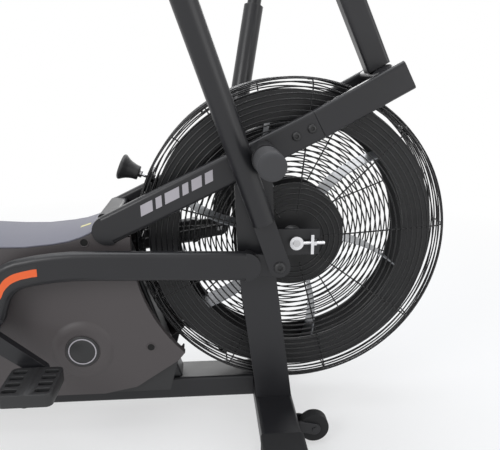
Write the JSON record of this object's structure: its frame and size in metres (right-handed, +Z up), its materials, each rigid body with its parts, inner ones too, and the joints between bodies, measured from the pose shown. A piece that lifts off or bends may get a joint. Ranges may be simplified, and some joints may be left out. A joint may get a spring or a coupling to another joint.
{
  "type": "air bike",
  "caption": "Air bike: wire-caged fan in a fork, belt drive from the cranks, swing arms linked to the cranks, foot pegs, adjustable saddle and a console on a mast.",
  "frame": {"origin": "centre of the footprint, on the floor", "axes": "+X forward to the fan, +Y across the bike, +Z up"},
  "size_m": [1.347, 0.5898, 1.2641],
  "materials": {
    "frame_black": "satin powder coat",
    "wire_black": "gloss black coat on steel wire",
    "rubber": "matte moulded rubber",
    "peg_rubber": "fine ribbed grey rubber",
    "foam": "foam grip",
    "zinc": "bright zinc plate",
    "chrome": "bright chrome",
    "fan_black": "satin black",
    "blade": "satin grey sheet",
    "shroud": "charcoal moulded plastic, fine grain",
    "cover": "light grey satin plastic",
    "black_plastic": "black moulded plastic",
    "console": "textured black plastic",
    "screen": "display window",
    "key": "grey key",
    "belt": "ribbed belt",
    "pulley": "machined casting",
    "saddle": "black synthetic leather",
    "tyre": "hard rubber wheel"
  },
  "bodies": {
    "frame": {"base_beam": "frame_black", "stabilizers": "frame_black", "stabilizer_feet": "rubber", "neck": "frame_black", "rails": "frame_black", "front_legs": "frame_black", "mid_beam": "frame_black", "crank_housing": "frame_black", "seat_tube": "frame_black", "seat_bush": "black_plastic", "frame_lugs": "frame_black", "front_bracket": "frame_black", "frame_screws": "black_plastic", "console_mast": "frame_black", "console": "console", "console_screen": "screen", "fan_axle": "zinc", "axle_tensioners": "chrome", "belt": "belt", "left_guard_face": "wire_black", "right_guard_face": "wire_black", "left_guard_rim": "wire_black", "right_guard_rim": "wire_black", "guard_fittings": "wire_black", "foot_pegs": "peg_rubber", "left_shroud": "shroud", "right_shroud": "shroud", "top_cover": "cover", "shroud_skirts": "black_plastic", "cap_discs": "black_plastic"},
    "crank": {"crank_axle": "zinc", "drive_pulley": "pulley", "crank_webs": "frame_black", "crank_arms": "frame_black"},
    "fan": {"fan_bearings": "zinc", "fan_hub": "fan_black", "fan_blades": "blade", "fan_rims": "fan_black", "fan_pulley": "pulley"},
    "left_pedal": {"left_pedal": "black_plastic"},
    "right_pedal": {"right_pedal": "black_plastic"},
    "left_arm": {"left_arm": "frame_black", "left_grip": "foam", "left_link_bolt": "zinc"},
    "right_arm": {"right_arm": "frame_black", "right_grip": "foam", "right_link_bolt": "zinc"},
    "left_link": {"left_link": "frame_black"},
    "right_link": {"right_link": "frame_black"},
    "lock_pin": {"lock_pin": "black_plastic"},
    "seat_post": {"seat_post": "frame_black"},
    "seat_knob": {"seat_knob": "black_plastic"},
    "saddle": {"saddle_base": "black_plastic", "saddle_knob": "black_plastic", "saddle_pad": "saddle"},
    "left_wheel": {"left_wheel": "tyre"},
    "right_wheel": {"right_wheel": "tyre"},
    "left_key": {"left_key": "key"},
    "middle_key": {"middle_key": "key"},
    "right_key": {"right_key": "key"}
  },
  "joints": [
    {"name": "crank_spin", "type": "hinge", "parent": "frame", "child": "crank", "pos_m": [-0.3055, 0, 0.227], "axis": [0, 1, 0], "continuous": true},
    {"name": "fan_spin", "type": "hinge", "parent": "frame", "child": "fan", "pos_m": [0.3485, 0, 0.41], "axis": [0, 1, 0], "continuous": true},
    {"name": "left_pedal_spin", "type": "hinge", "parent": "crank", "child": "left_pedal", "pos_m": [-0.15727, -0.22, 0.18168], "axis": [0, 1, 0], "continuous": true},
    {"name": "right_pedal_spin", "type": "hinge", "parent": "crank", "child": "right_pedal", "pos_m": [-0.45373, 0.22, 0.27232], "axis": [0, 1, 0], "continuous": true},
    {"name": "left_arm_swing", "type": "hinge", "parent": "frame", "child": "left_arm", "pos_m": [0.2785, -0.145, 0.59], "axis": [0, 1, 0], "range_deg": [-2, 31.2]},
    {"name": "right_arm_swing", "type": "hinge", "parent": "frame", "child": "right_arm", "pos_m": [0.2785, 0.145, 0.59], "axis": [0, 1, 0], "range_deg": [-31.2, 2]},
    {"name": "left_link_swing", "type": "hinge", "parent": "left_arm", "child": "left_link", "pos_m": [0.30982, -0.131, 0.37299], "axis": [0, 1, 0], "range_deg": [-31.2, 2]},
    {"name": "right_link_swing", "type": "hinge", "parent": "right_arm", "child": "right_link", "pos_m": [0.19862, 0.131, 0.38581], "axis": [0, 1, 0], "range_deg": [-2, 31.2]},
    {"name": "lock_pin_pull", "type": "slide", "parent": "frame", "child": "lock_pin", "axis": [-0.9272, 0, 0.3746], "range_m": [0, 0.025], "stiffness_N_per_m": 80, "springref_m": -0.02},
    {"name": "seat_post_slide", "type": "slide", "parent": "frame", "child": "seat_post", "axis": [-0.0698, 0, 0.9976], "range_m": [0, 0.11]},
    {"name": "seat_knob_pull", "type": "slide", "parent": "frame", "child": "seat_knob", "axis": [-0.9976, 0, -0.0698], "range_m": [0, 0.012], "stiffness_N_per_m": 400, "springref_m": -0.01},
    {"name": "saddle_slide", "type": "slide", "parent": "seat_post", "child": "saddle", "axis": [1, 0, 0], "range_m": [-0.04, 0.04]},
    {"name": "left_wheel_spin", "type": "hinge", "parent": "frame", "child": "left_wheel", "pos_m": [0.3815, -0.17, 0.035], "axis": [0, 1, 0], "continuous": true},
    {"name": "right_wheel_spin", "type": "hinge", "parent": "frame", "child": "right_wheel", "pos_m": [0.3815, 0.17, 0.035], "axis": [0, 1, 0], "continuous": true},
    {"name": "left_key_press", "type": "slide", "parent": "frame", "child": "left_key", "axis": [0.5736, 0, -0.8192], "range_m": [0, 0.001], "stiffness_N_per_m": 800, "springref_m": -0.001},
    {"name": "middle_key_press", "type": "slide", "parent": "frame", "child": "middle_key", "axis": [0.5736, 0, -0.8192], "range_m": [0, 0.001], "stiffness_N_per_m": 800, "springref_m": -0.001},
    {"name": "right_key_press", "type": "slide", "parent": "frame", "child": "right_key", "axis": [0.5736, 0, -0.8192], "range_m": [0, 0.001], "stiffness_N_per_m": 800, "springref_m": -0.001}
  ],
  "couplings": [
    {"joint": "fan_spin", "follows": "crank_spin", "ratio": 4},
    {"joint": "right_arm_swing", "follows": "left_arm_swing", "ratio": -1},
    {"joint": "left_link_swing", "follows": "left_arm_swing", "ratio": -1},
    {"joint": "right_link_swing", "follows": "left_arm_swing", "ratio": 1}
  ]
}
